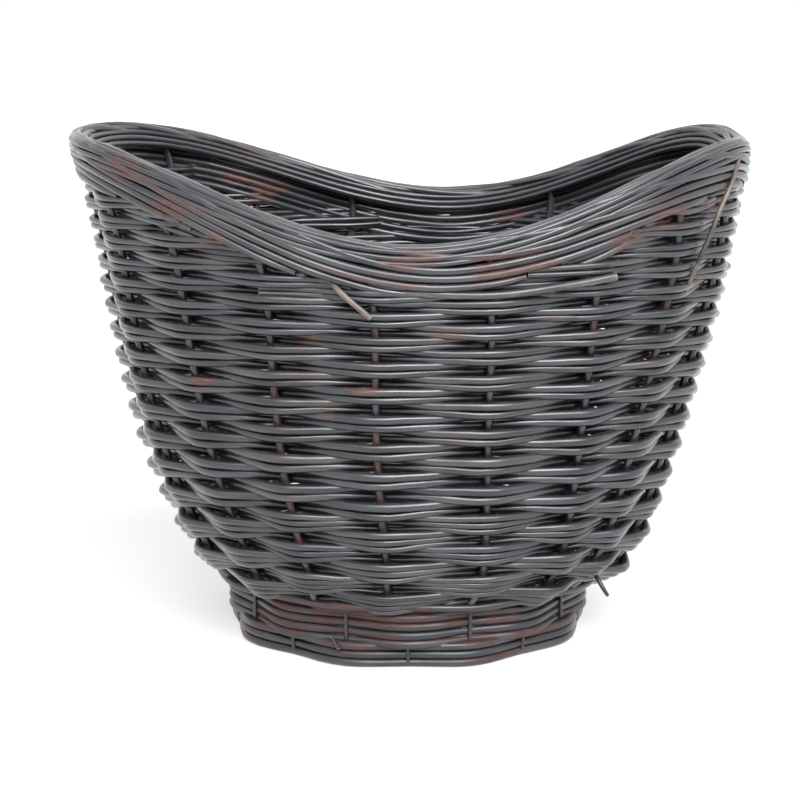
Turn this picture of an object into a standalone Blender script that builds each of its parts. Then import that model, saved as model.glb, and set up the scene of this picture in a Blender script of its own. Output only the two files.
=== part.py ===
# Footed oval bowl, woven by hand from dark stained willow rods.
#
# Eighteen upright stakes stand round a small round foot. Pairs of thinner rods are woven
# in front of one stake and behind the next, row above row. The bowl flares to an oval
# mouth that is high at its two ends and low at its front and back. There the stakes are
# bent over, one behind the next, and rolled round the outside as the border.
# The base is a cross of nine rods. Their ends fan out, turn down and carry the foot.
# X is the long way of the bowl, the front faces -Y, and the floor is z = 0.

import bpy
import math
from mathutils import Vector

# Overall sizes, in metres, to the middle of the stakes where not said otherwise
bowl_base_radius = 0.0930
foot_overhang = 0.0005
end_flare = 0.0830
side_flare = 0.0247
flare_curve = 0.47
rim_height_side = 0.2247
rim_rise = 0.0453
rim_dip_power = 3.6
back_rim_turn = math.radians(6)
right_end_dip = 0.0045
right_end_narrowness = 40
belly_shift = 0.0040
belly_shift_share = 0.10
shoulder_shift = 0.0040
shoulder_shift_share = 0.75

# Rods
stake_diameter = 0.0041
foot_rod_diameter = 0.0041
base_rod_diameter = 0.0040
clearance = 0.0003
pair_brow_share = 0.9
pair_groove_share = 0.5
stack_waist_share = 0.55
band_brow_share = 0.6

# Counts
stake_count = 18
row_count = 22
base_ring_count = 5
slath_long_rods = 5
slath_cross_rods = 4
foot_lower_rods = 3
foot_upper_rods = 4

# Stakes: their places round the oval, and how far each has drifted at the base
stake_phase_share = 0.145
stake_drift_shares = (0.0, 0.0, 0.05, -0.04, 0.0, 0.21, 0.29, 0.0, -0.1)
stake_drift_top_share = 0.8
stake_levels = 13
stake_first_level = 3
stake_level_power = 2.7
stake_tip_share = 0.88

# Wall rows: pairs of rods, which get thinner and closer towards the mouth
wall_lift = 0.00415
wall_room = 0.0008
row_gap = 0.00035
row_thinning = 0.19
weave_slack = 0.0006
lean_spread_share = 0.2

# Packing at the two raised ends
packing_pitch = 0.0054
packing_room = 0.0008
packing_tail_share = 0.35
turn_room_share = 0.15
turn_steps = 4
turn_slack = 0.0004

# Border
border_gap = 0.00035
border_room = 0.0004
border_length_shares = 6.3
border_tuck = 0.0100
border_step_share = 0.5
border_out_shares = (0.0, -0.76, -1.0, 0.0, 1.0)
border_depth_shares = (1.0, 0.55, 0.15, 0.0)

# Base
slath_gap = 0.0006
slath_cross_gap = 0.00025
slath_reach = 0.0120
slath_open_radius = 0.0240
tie_room = 0.0025
first_ring_width = 0.0090
ring_gap = 0.0009
ring_room = 0.0015
ring_thickness = 0.0030
ring_slack = 0.0004
bend_radius = 0.0040
tie_slack = 0.0014

# Foot
foot_flat_width = 0.0024
foot_stake_lift = 0.0006

# Finish
bark_colour = (0.030, 0.030, 0.035, 1.0)
border_colour = (0.045, 0.040, 0.042, 1.0)
rubbed_colour = (0.090, 0.045, 0.034, 1.0)
bark_roughness = 0.42

stake_radius = stake_diameter / 2
full_turn = 2 * math.pi
stake_step = full_turn / stake_count

# The foot, and the base that lies on it
foot_radius = bowl_base_radius + foot_overhang
foot_lower_height = foot_lower_rods * foot_rod_diameter
foot_upper_bottom = foot_lower_height + row_gap
foot_height = foot_upper_bottom + foot_upper_rods * foot_rod_diameter
base_rod_radius = base_rod_diameter / 2
base_level = foot_height + clearance + base_rod_radius
foot_reach = base_rod_radius + foot_rod_diameter / 2 + clearance + weave_slack
slath_spacing = base_rod_diameter + slath_gap
slath_lift = base_rod_radius + slath_cross_gap
first_ring_radius = slath_open_radius + tie_room + first_ring_width / 2

# The last ring of the base keeps clear of the inside of the foot
last_ring_edge = foot_radius - foot_reach - foot_rod_diameter / 2 - ring_room
ring_spacing = (last_ring_edge - first_ring_radius + ring_gap / 2) / (base_ring_count - 0.5)
ring_width = ring_spacing - ring_gap

# The wall goes from the foot to the underside of the border, which is lowest at the sides
bowl_bottom = foot_height + clearance + stake_radius / 2
border_pitch = stake_diameter + border_gap
border_spacing = stake_diameter + border_room
border_depth = border_pitch * (border_length_shares - 1) + stake_diameter
wall_bottom = foot_height + wall_lift
wall_top = rim_height_side - border_depth - wall_room

# The rim rises to its ends, and laps of packing fill the wall there
rim_height_end = rim_height_side + rim_rise
bowl_height = rim_height_end - bowl_bottom
packing_height = rim_height_end - border_depth - packing_room - wall_top
packing_count = math.floor(packing_height / packing_pitch)

# Short steps that measure the wall's slope
probe_turn = full_turn / 60000
probe_rise = stake_radius / 4


def start_empty():
    """Remove what the file opened with and make the two collections."""
    for old in list(bpy.data.objects):
        bpy.data.objects.remove(old)
    scene = bpy.context.scene
    bowl = bpy.data.collections.new("willow_bowl")
    guides = bpy.data.collections.new("guides")
    scene.collection.children.link(bowl)
    scene.collection.children.link(guides)
    return bowl, guides


def willow(name, colour):
    """A stained and waxed willow finish."""
    material = bpy.data.materials.new(name)
    material.use_nodes = True
    shader = material.node_tree.nodes["Principled BSDF"]
    shader.inputs["Base Color"].default_value = colour
    shader.inputs["Roughness"].default_value = bark_roughness
    shader.inputs["Metallic"].default_value = 0.0
    material.diffuse_color = colour
    return material


def pair_profile(name, guides):
    """Two rods one above the other, as one outline with a groove between them.

    A rod is 1 across here. Each strand scales it to its own rods."""
    half = 1 / 2
    brow = pair_brow_share
    groove = half * pair_groove_share
    outline = [(-half, -brow), (-groove, 0.0), (-half, brow),
               (half, brow), (groove, 0.0), (half, -brow)]
    return profile_curve(name, guides, outline)


def rod_stack_profile(name, guides, rods, diameter, flat_width=0.0):
    """The outline of rods fused one above the other, drawn clockwise.

    Each rod has its widest point at each side, with a waist between two rods."""
    half = diameter / 2
    waist = half * stack_waist_share
    side = []
    for rod in range(rods):
        middle = (rod - (rods - 1) / 2) * diameter
        side.append((half, middle))
        if rod < rods - 1:
            side.append((waist, middle + half))
    top = rods * half
    left = [(-x, y) for x, y in side]
    right = [(x, y) for x, y in reversed(side)]
    outline = left + [(0.0, top)] + right
    if flat_width:
        outline += [(flat_width / 2, -top), (-flat_width / 2, -top)]
    else:
        outline += [(0.0, -top)]
    return profile_curve(name, guides, outline)


def band_profile(name, guides, width, thickness):
    """Flat woven rods side by side, lying in the base."""
    half = width / 2
    brow = half * band_brow_share
    outline = [(-half, 0.0), (-brow, thickness / 2), (brow, thickness / 2),
               (half, 0.0), (brow, -thickness / 2), (-brow, -thickness / 2)]
    return profile_curve(name, guides, outline)


def profile_curve(name, guides, outline):
    curve = bpy.data.curves.new(name, "CURVE")
    curve.dimensions = "2D"
    spline = curve.splines.new("POLY")
    spline.points.add(len(outline) - 1)
    for point, (x, y) in zip(spline.points, outline):
        point.co = (x, y, 0.0, 1.0)
    spline.use_cyclic_u = True
    guide = bpy.data.objects.new(name, curve)
    guide.hide_render = True
    guide.display_type = "WIRE"
    guides.objects.link(guide)
    return guide


def lay_spline(curve, points, closed, radii, tilts):
    spline = curve.splines.new("POLY")
    spline.points.add(len(points) - 1)
    for index, (point, place) in enumerate(zip(spline.points, points)):
        point.co = (*place, 1.0)
        point.radius = radii[index] if radii else 1.0
        point.tilt = tilts[index] if tilts else 0.0
    spline.use_cyclic_u = closed
    spline.use_smooth = True


def round_rod(name, bowl, points, radius, colour, radii=None):
    """One willow rod with cut ends."""
    curve = bpy.data.curves.new(name, "CURVE")
    curve.dimensions = "3D"
    curve.bevel_depth = radius
    curve.bevel_resolution = 1
    curve.use_fill_caps = True
    lay_spline(curve, points, False, radii, None)
    curve.materials.append(willow(name, colour))
    rod = bpy.data.objects.new(name, curve)
    bowl.objects.link(rod)
    return rod


def woven_strand(name, bowl, points, profile, colour, closed=True, radii=None, tilts=None):
    """Rods lying side by side, swept along their way round the stakes."""
    curve = bpy.data.curves.new(name, "CURVE")
    curve.dimensions = "3D"
    curve.twist_mode = "Z_UP"
    curve.bevel_mode = "OBJECT"
    curve.bevel_object = profile
    curve.use_fill_caps = not closed
    lay_spline(curve, points, closed, radii, tilts)
    curve.materials.append(willow(name, colour))
    strand = bpy.data.objects.new(name, curve)
    bowl.objects.link(strand)
    return strand


def wall_share(level):
    return max(level - bowl_bottom, 0.0) / bowl_height


def wall_radii(level):
    """Half the length and half the width of the oval through the stakes."""
    opened = wall_share(level) ** flare_curve
    return bowl_base_radius + end_flare * opened, bowl_base_radius + side_flare * opened


def side_shift(level):
    """The bowl isn't quite even: its belly and its shoulder sit a little to the right."""
    share = wall_share(level)
    low = share / belly_shift_share
    belly = low * math.exp(1 - low)
    steepness = shoulder_shift_share / (1 - shoulder_shift_share)
    shoulder = (share / shoulder_shift_share) ** steepness * (1 - share) / (1 - shoulder_shift_share)
    return belly_shift * belly + shoulder_shift * shoulder


def wall_surface(angle, level):
    """A point of the wall, through the middle of the stakes."""
    along, across = wall_radii(level)
    return Vector((along * math.cos(angle) + side_shift(level), across * math.sin(angle), level))


def wall_normal(angle, level):
    """Outward from the wall, found from two short steps on its surface."""
    onward = wall_surface(angle + probe_turn, level)
    round_step = onward - wall_surface(angle - probe_turn, level)
    rise_step = wall_surface(angle, level + probe_rise) - wall_surface(angle, level)
    return round_step.cross(rise_step).normalized()


def wall_point(angle, level, outward=0.0):
    return wall_surface(angle, level) + wall_normal(angle, level) * outward


def wall_lean(angle, level):
    """How far the wall leans outward there, as a curve's tilt."""
    return math.asin(-wall_normal(angle, level).z)


def stake_angle(index, level):
    """Where a stake stands round the oval. Each has its own drift near the base."""
    drift = stake_drift_shares[index % len(stake_drift_shares)]
    fade = max(1 - wall_share(level) / stake_drift_top_share, 0.0)
    return (index + stake_phase_share + drift * fade) * stake_step


def rim_line(angle):
    """Height of the border's top strand, at its middle. The back dips a little to the right.

    The right end has settled, so it is a little lower at its very tip."""
    turn = back_rim_turn * max(math.sin(angle), 0.0)
    dip = rim_rise * abs(math.sin(angle + turn)) ** rim_dip_power
    tip_dip = right_end_dip * max(math.cos(angle), 0.0) ** right_end_narrowness
    return rim_height_end - dip - tip_dip - stake_radius


def border_place(index, steps):
    """A point of a stake's border end, a number of stakes on from where it stands.

    It goes behind the next stake, over the rim, and then down the outside a rod at a time."""
    entry = round(steps / border_step_share)
    angle = (index + stake_phase_share + steps) * stake_step
    outward = border_spacing * border_out_shares[min(entry, len(border_out_shares) - 1)]
    if entry < len(border_depth_shares):
        depth = border_tuck * border_depth_shares[entry]
    else:
        depth = border_pitch * (steps - 1)
    return wall_point(angle, rim_line(angle) - depth, outward)


def make_stake(index, bowl):
    """One stake: up the wall, then bent over at the rim and rolled round the outside."""
    top_angle = stake_angle(index, rim_height_end)
    top = rim_line(top_angle) - border_tuck
    start = foot_height + clearance + stake_radius
    levels = [start]
    for step in range(stake_first_level, stake_levels):
        level = bowl_bottom + (top - bowl_bottom) * (step / stake_levels) ** stake_level_power
        levels.append(level)
    points = [wall_point(stake_angle(index, level), level) for level in levels]
    upright = len(points)
    steps = round(border_length_shares / border_step_share)
    points += [border_place(index, step * border_step_share) for step in range(steps + 1)]
    points.append(border_place(index, border_length_shares))
    rolled = len(points) - upright
    radii = [1.0] * upright
    radii += [1.0 - (1.0 - stake_tip_share) * step / rolled for step in range(rolled)]
    name = f"stake_{index + 1:02d}"
    return round_rod(name, bowl, points, stake_radius, border_colour, radii)


def row_edge(index):
    share = index / row_count
    climbed = share * (1 + row_thinning) - row_thinning * share * share
    return wall_bottom + (wall_top - wall_bottom) * climbed


def weave_reach(rod_diameter):
    """How far a rod's middle stands off the middle of the stake it passes."""
    return stake_radius + rod_diameter / 2 + clearance + weave_slack


def side_of(index, row):
    """In front of a stake on one row, and behind it on the next."""
    return 1 if (index + row) % 2 else -1


def wall_bow(angle, level, half, side):
    """How far the curved wall comes towards a straight strand, half the strand's height away."""
    middle = wall_surface(angle, level)
    normal = wall_normal(angle, level)
    ends = [wall_surface(angle, level + step) - middle for step in (-half, half)]
    return max(0.0, *(side * normal.dot(end) for end in ends))


def make_row(row, bowl, pair):
    """One round of weaving: a pair of rods in and out of all the stakes."""
    bottom = row_edge(row)
    top = row_edge(row + 1)
    level = (bottom + top) / 2
    rod = (top - bottom - row_gap) / 2
    points = []
    tilts = []
    radii = []
    for index in range(stake_count):
        angle = stake_angle(index, level)
        lean = wall_lean(angle, level)
        spread_rod = rod * (1 + (1 / math.cos(lean) - 1) * lean_spread_share)
        side = side_of(index, row)
        reach = weave_reach(spread_rod) + wall_bow(angle, level, rod, side)
        points.append(wall_point(angle, level, side * reach))
        tilts.append(lean)
        radii.append(spread_rod)
    name = f"wall_row_{row + 1:02d}"
    return woven_strand(name, bowl, points, pair, bark_colour, True, radii, tilts)


def border_edge(angle):
    """The lowest point of the border's outside, at that place round the rim."""
    return rim_line(angle) + stake_radius - border_depth


def packing_level(lap):
    return wall_top + (lap + 0.5) * packing_pitch


def packing_fits(index, lap):
    """Is there room under the border for this lap to turn round this stake?"""
    needed = packing_level(lap) + packing_pitch / 2 + packing_room
    angle = stake_angle(index, packing_level(lap))
    around = turn_room_share * stake_step
    return min(border_edge(angle - around), border_edge(angle + around)) >= needed


def packing_end(index, highest_lap, way):
    """The last stake, going one way, where every lap up to the highest has room."""
    last = index
    while packing_fits(last + way, highest_lap):
        last += way
    return last


def make_packing(name, middle, bowl, pair):
    """Rods that go to and fro under the raised end of the rim, each lap shorter."""
    rod = (packing_pitch - row_gap) / 2
    reach = weave_reach(rod)
    turn_reach = (stake_radius + rod / 2 + clearance + turn_slack) / math.cos(math.pi / turn_steps / 2)
    points = []
    tilts = []
    way = 1
    here = packing_end(middle, 0, -1)
    for lap in range(packing_count):
        level = packing_level(lap)
        last = packing_end(here, min(lap + 1, packing_count - 1), way)
        for index in range(here, last + way, way):
            side = side_of(index, row_count + lap)
            angle = stake_angle(index, level)
            tilt = wall_lean(angle, level) * way
            at_start = index == here
            at_end = index == last
            if at_start and lap == 0:
                tail = angle - way * packing_tail_share * stake_step
                points.append(wall_point(tail, level, side * reach / 2))
                tilts.append(tilt)
            if not (at_start and lap > 0) and not (at_end and lap < packing_count - 1):
                points.append(wall_point(angle, level, side * reach))
                tilts.append(tilt)
            if at_end and lap == packing_count - 1:
                tail = angle + way * packing_tail_share * stake_step
                points.append(wall_point(tail, level, side * reach / 2))
                tilts.append(tilt)
            if at_end and lap < packing_count - 1:
                onward = wall_surface(angle + probe_turn, level)
                run = (onward - wall_surface(angle, level)).length / probe_turn
                for step in range(turn_steps + 1):
                    swing = math.pi * step / turn_steps
                    outward = side * turn_reach * math.cos(swing)
                    sideways = way * turn_reach * math.sin(swing) / run
                    lift = packing_pitch * step / turn_steps
                    place = stake_angle(index, level + lift) + sideways
                    points.append(wall_point(place, level + lift, outward))
                    tilts.append(tilt * math.cos(swing))
        here = last
        way = -way
    radii = [rod] * len(points)
    return woven_strand(name, bowl, points, pair, bark_colour, False, radii, tilts)


def polar(radius, angle, level):
    return Vector((radius * math.cos(angle), radius * math.sin(angle), level))


def make_base_rod(index, bowl):
    """One rod of the base. It lies across the middle, fans out and turns down at the foot."""
    crossing = index >= slath_long_rods
    if crossing:
        place = index - slath_long_rods - (slath_cross_rods - 1) / 2
        turned = math.pi / 2 + stake_step / 2
        lift = slath_lift
    else:
        place = index - (slath_long_rods - 1) / 2
        turned = stake_step / 2
        lift = -slath_lift
    fan = place * stake_step
    half = []
    lateral = place * slath_spacing
    for reach in (0.0, slath_reach):
        flat = Vector((reach, lateral, base_level + lift))
        half.append(flat)
    flat_end = foot_radius - bend_radius
    bend = bend_radius * math.sin(math.pi / 4)
    shoulder = bend_radius - bend
    half.append(polar(slath_open_radius, fan, base_level))
    half.append(polar(flat_end, fan, base_level))
    half.append(polar(flat_end + bend, fan, base_level - shoulder))
    half.append(polar(foot_radius, fan, base_level - bend_radius))
    half.append(polar(foot_radius, fan, foot_stake_lift))
    other = [Vector((-point.x, point.y, point.z)) for point in reversed(half[1:])]
    cosine = math.cos(turned)
    sine = math.sin(turned)
    points = []
    for point in other + half:
        x = point.x * cosine - point.y * sine
        y = point.x * sine + point.y * cosine
        points.append(Vector((x, y, point.z)))
    return round_rod(f"base_rod_{index + 1}", bowl, points, base_rod_radius, bark_colour)


def make_base_ring(ring, bowl, profile, radius):
    """A round of base weaving. The first ties the cross, one whole arm at a time."""
    reach = base_rod_radius + ring_thickness / 2 + clearance
    reach += ring_slack if ring else tie_slack
    points = []
    for index in range(stake_count):
        angle = (index + 0.5) * stake_step
        if ring == 0:
            arm = (index + slath_long_rods // 2) % (slath_long_rods + slath_cross_rods)
            side = -1 if arm < slath_long_rods else 1
        else:
            side = 1 if (index + ring) % 2 else -1
        points.append(polar(radius, angle, base_level + side * reach))
    return woven_strand(f"base_ring_{ring + 1}", bowl, points, profile, bark_colour)


def make_foot_row(name, bowl, profile, bottom, rods, phase, colour):
    """A round of the foot, woven in and out of the turned-down base rods."""
    level = bottom + rods * foot_rod_diameter / 2
    points = []
    for index in range(stake_count):
        side = 1 if (index + phase) % 2 else -1
        points.append(polar(foot_radius + side * foot_reach, (index + 0.5) * stake_step, level))
    return woven_strand(name, bowl, points, profile, colour)


def make_bowl():
    bowl, guides = start_empty()
    pair = pair_profile("pair_outline", guides)
    foot_low = rod_stack_profile("foot_lower_outline", guides, foot_lower_rods,
                                 foot_rod_diameter, foot_flat_width)
    foot_high = rod_stack_profile("foot_upper_outline", guides, foot_upper_rods,
                                  foot_rod_diameter)
    tie = band_profile("tie_outline", guides, first_ring_width, ring_thickness)
    band = band_profile("band_outline", guides, ring_width, ring_thickness)

    for index in range(stake_count // 2):
        make_base_rod(index, bowl)
    make_base_ring(0, bowl, tie, first_ring_radius)
    for ring in range(1, base_ring_count):
        make_base_ring(ring, bowl, band, first_ring_radius + ring * ring_spacing)

    make_foot_row("foot_row_lower", bowl, foot_low, 0.0, foot_lower_rods, 1, bark_colour)
    make_foot_row("foot_row_upper", bowl, foot_high, foot_upper_bottom, foot_upper_rods, 0,
                  rubbed_colour)

    for index in range(stake_count):
        make_stake(index, bowl)
    for row in range(row_count):
        make_row(row, bowl, pair)
    make_packing("end_packing_right", 0, bowl, pair)
    make_packing("end_packing_left", stake_count // 2, bowl, pair)


make_bowl()
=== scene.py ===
# %% [markdown]
# # A footed willow bowl
#
# This lesson dresses a plain CAD model of a hand-woven bowl. The real bowl is willow, stained
# almost black, waxed to a soft shine and rubbed dull brown where it has been handled.
#
# The CAD model has one strand wherever two or more rods lie together. Here every rod is drawn by
# itself, because the eye reads a basket by its rods: each one has its own highlight and its own
# wander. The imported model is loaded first. It is the frame that every rod keeps to.

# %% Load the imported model
import math
import random

import bpy
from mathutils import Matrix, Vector
from mathutils.kdtree import KDTree


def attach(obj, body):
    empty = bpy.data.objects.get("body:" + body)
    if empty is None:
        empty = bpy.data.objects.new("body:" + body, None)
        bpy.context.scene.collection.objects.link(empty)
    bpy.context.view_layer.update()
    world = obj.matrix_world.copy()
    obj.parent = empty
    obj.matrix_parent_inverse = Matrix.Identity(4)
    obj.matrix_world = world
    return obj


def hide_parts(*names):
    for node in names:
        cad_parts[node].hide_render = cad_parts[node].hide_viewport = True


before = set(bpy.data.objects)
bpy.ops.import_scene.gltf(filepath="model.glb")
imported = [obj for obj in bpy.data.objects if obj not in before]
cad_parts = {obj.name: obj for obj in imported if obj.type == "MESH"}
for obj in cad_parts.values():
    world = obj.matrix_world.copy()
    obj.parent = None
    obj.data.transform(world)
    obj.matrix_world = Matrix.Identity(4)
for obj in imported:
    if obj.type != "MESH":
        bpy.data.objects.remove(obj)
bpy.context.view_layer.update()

# %% [markdown]
# ## The shape of the wall
#
# The wall is an oval that opens from a round foot to a long mouth. It opens fast at first and then
# slowly, so the share of its height is raised to a power below one. The sizes are the CAD model's
# own. The belly and the shoulder both sit a little to the right, which is part of the real bowl's
# charm.

# %% Sizes of the bowl
bowl_base_radius = 0.0930
foot_radius = 0.0935
end_flare = 0.0830
side_flare = 0.0247
flare_curve = 0.47
rim_height_side = 0.2247
rim_rise = 0.0453
rim_height_end = rim_height_side + rim_rise
rim_dip_power = 3.6
back_rim_turn = math.radians(6)
right_end_dip = 0.0045
right_end_narrowness = 40
belly_shift = 0.0040
belly_shift_share = 0.10
shoulder_shift = 0.0040
shoulder_shift_share = 0.75
stake_diameter = 0.0041
stake_radius = stake_diameter / 2
foot_height = 0.02905
seat_gap = 0.0003
bowl_bottom = foot_height + seat_gap + stake_radius / 2
bowl_height = rim_height_end - bowl_bottom
probe_turn = 1e-4
probe_rise = 5e-4


def wall_share(level):
    return max(level - bowl_bottom, 0.0) / bowl_height


def side_shift(level):
    """How far the oval sits to the right there."""
    share = wall_share(level)
    low = share / belly_shift_share
    belly = low * math.exp(1 - low)
    steepness = shoulder_shift_share / (1 - shoulder_shift_share)
    shoulder = (share / shoulder_shift_share) ** steepness * (1 - share) / (1 - shoulder_shift_share)
    return belly_shift * belly + shoulder_shift * shoulder


def wall_surface(angle, level):
    """A point of the wall, through the middle of the stakes."""
    opened = wall_share(level) ** flare_curve
    along = bowl_base_radius + end_flare * opened
    across = bowl_base_radius + side_flare * opened
    return Vector((along * math.cos(angle) + side_shift(level), across * math.sin(angle), level))


def wall_rise(angle, level):
    """The way up the wall, square to the rods that lie in it."""
    return (wall_surface(angle, level + probe_rise) - wall_surface(angle, level)).normalized()


def wall_out(angle, level):
    """Straight out of the wall."""
    onward = wall_surface(angle + probe_turn, level) - wall_surface(angle - probe_turn, level)
    return onward.cross(wall_rise(angle, level)).normalized()


def wall_point(angle, level, outward=0.0):
    return wall_surface(angle, level) + wall_out(angle, level) * outward


print("mouth", round(2000 * (bowl_base_radius + end_flare)), "mm long through the stakes")

# %% [markdown]
# ## Stakes and rim
#
# Each stake stands at its own angle round the oval. Hands never space stakes evenly, so each has a
# drift of its own at the base, which fades out towards the rim. A place is a number of stakes: 3.5
# is half way between the stakes 3 and 4. The rim is a saddle, high at the ends of the oval.

# %% Where the stakes stand, and how high the rim is
stake_count = 18
stake_step = 2 * math.pi / stake_count
stake_phase_share = 0.145
stake_drift_shares = (0.0, 0.0, 0.05, -0.04, 0.0, 0.21, 0.29, 0.0, -0.1)
stake_drift_top_share = 0.8


def stake_angle(place, level):
    """The angle of a place. Between two stakes the drift is shared out evenly."""
    index = math.floor(place)
    part = place - index
    count = len(stake_drift_shares)
    here = stake_drift_shares[index % count]
    onward = stake_drift_shares[(index + 1) % count]
    fade = max(1 - wall_share(level) / stake_drift_top_share, 0.0)
    return (place + stake_phase_share + (here + (onward - here) * part) * fade) * stake_step


def rim_line(angle):
    """The middle of the border's top rod. The back dips a little to the right."""
    turn = back_rim_turn * max(math.sin(angle), 0.0)
    dip = rim_rise * abs(math.sin(angle + turn)) ** rim_dip_power
    tip_dip = right_end_dip * max(math.cos(angle), 0.0) ** right_end_narrowness
    return rim_height_end - dip - tip_dip - stake_radius


print("rim from", round(1000 * rim_line(math.pi / 2)), "to", round(1000 * rim_line(0)), "mm up")

# %% [markdown]
# ## One way to build any node tree
#
# Both the rods' shapes and their finish are node trees. A tree with fifty nodes is hard to read as
# nodes and easy to read as sums. So one small class stands for a node's output, and a plus or a
# times between two of them adds the Math node that does it. Vectors go through Vector Math.
# Everything else comes from one method, `node`, which sets a node's settings before its sockets.

# %% Sums that build nodes
class Wire:
    """One output of a node, for use in sums."""

    def __init__(self, bench, socket):
        self.bench = bench
        self.socket = socket

    def other(self, name):
        """Another output of the same node."""
        return Wire(self.bench, self.socket.node.outputs[name])

    def __add__(self, other):
        return self.bench.sum("ADD", self, other)

    def __radd__(self, other):
        return self.bench.sum("ADD", other, self)

    def __sub__(self, other):
        return self.bench.sum("SUBTRACT", self, other)

    def __rsub__(self, other):
        return self.bench.sum("SUBTRACT", other, self)

    def __mul__(self, other):
        return self.bench.sum("MULTIPLY", self, other)

    def __rmul__(self, other):
        return self.bench.sum("MULTIPLY", other, self)

    def __rtruediv__(self, other):
        return self.bench.sum("DIVIDE", other, self)

    def __pow__(self, other):
        return self.bench.sum("POWER", self, other)


class Bench:
    """A node tree at work."""

    def __init__(self, tree):
        self.tree = tree

    def node(self, kind, settings=None, sockets=None, out=0):
        made = self.tree.nodes.new(kind)
        for name, value in (settings or {}).items():
            setattr(made, name, value)
        for name, value in (sockets or {}).items():
            if isinstance(value, Wire):
                self.tree.links.new(value.socket, made.inputs[name])
            else:
                made.inputs[name].default_value = value
        return Wire(self, made.outputs[out]) if made.outputs else made

    def sum(self, operation, first, second):
        """A Math node, or Vector Math where either side is a vector."""
        vectors = [isinstance(side, Wire) and side.socket.type == "VECTOR" for side in (first, second)]
        if operation == "MULTIPLY" and vectors[0] != vectors[1]:
            vector, number = (first, second) if vectors[0] else (second, first)
            return self.node("ShaderNodeVectorMath", {"operation": "SCALE"}, {0: vector, 3: number})
        kind = "ShaderNodeVectorMath" if any(vectors) else "ShaderNodeMath"
        return self.node(kind, {"operation": operation}, {0: first, 1: second})

    def larger(self, first, second):
        return self.sum("MAXIMUM", first, second)

    def smaller(self, first, second):
        return self.sum("MINIMUM", first, second)

    def smooth_step(self, value, low, high):
        """0 below low, 1 above high, and a soft slope between."""
        return self.node("ShaderNodeMapRange", {"interpolation_type": "SMOOTHSTEP"},
                         {"Value": value, "From Min": low, "From Max": high})

    def mix(self, share, first, second):
        """Blend two colours."""
        return self.node("ShaderNodeMix", {"data_type": "RGBA"}, {0: share, 6: first, 7: second}, 2)


print("sums ready")

# %% [markdown]
# ## The finish: stained and waxed willow
#
# Willow bark is smooth, with fine wrinkles along the rod and a small bud scar now and then. The
# stain turns it blue-black and the wax gives it a soft shine, so much of what one sees of it is
# reflected light. Where hands and edges have rubbed it, the stain is thinner and dull red-brown
# bark shows in streaks that run along the rod.
#
# The pattern can't follow the room's axes, because it has to run along each rod round every bend.
# So each rod carries attributes: how far along it a point is, where it is round the rod, how near
# the cut end is, and how much it was rubbed. All the noises below read a place on a straight rod
# that the first two make. The attribute tone is one random number for each rod, since no two take
# the stain alike: some come out bluer, some plum and some olive.

# %% Colours of the stain
blue_black = (0.013, 0.016, 0.021, 1.0)
blue_grey = (0.043, 0.048, 0.056, 1.0)
plum_black = (0.020, 0.016, 0.019, 1.0)
plum_grey = (0.054, 0.045, 0.050, 1.0)
olive_black = (0.017, 0.016, 0.013, 1.0)
olive_grey = (0.045, 0.043, 0.036, 1.0)
earth_dark = (0.034, 0.015, 0.013, 1.0)
earth_pale = (0.110, 0.046, 0.038, 1.0)
brown_dark = (0.050, 0.024, 0.020, 1.0)
brown_pale = (0.200, 0.095, 0.077, 1.0)
bare_dark = (0.120, 0.085, 0.070, 1.0)
bare_pale = (0.360, 0.290, 0.240, 1.0)
cut_wood = (0.400, 0.370, 0.340, 1.0)

# Noises along a rod: how fine across, how fine along, detail, and a shift
wrinkle_noise = (2600.0, 160.0, 4.0)
cloud_noise = (330.0, 34.0, 3.0, 5.0)
patch_noise = (170.0, 18.0, 4.0, 9.0)
wax_noise = (120.0, 26.0, 2.0, 14.0)
noise_radius = 0.0019
scar_radius = 0.0036
scar_scale = 46.0
scar_edge = (0.035, 0.075)
plum_tones = (0.40, 0.62)
olive_tones = (0.74, 0.86)
wear_effect = 0.42
cut_length = 0.0006
print("stains: blue, plum and olive, over brown")


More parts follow.
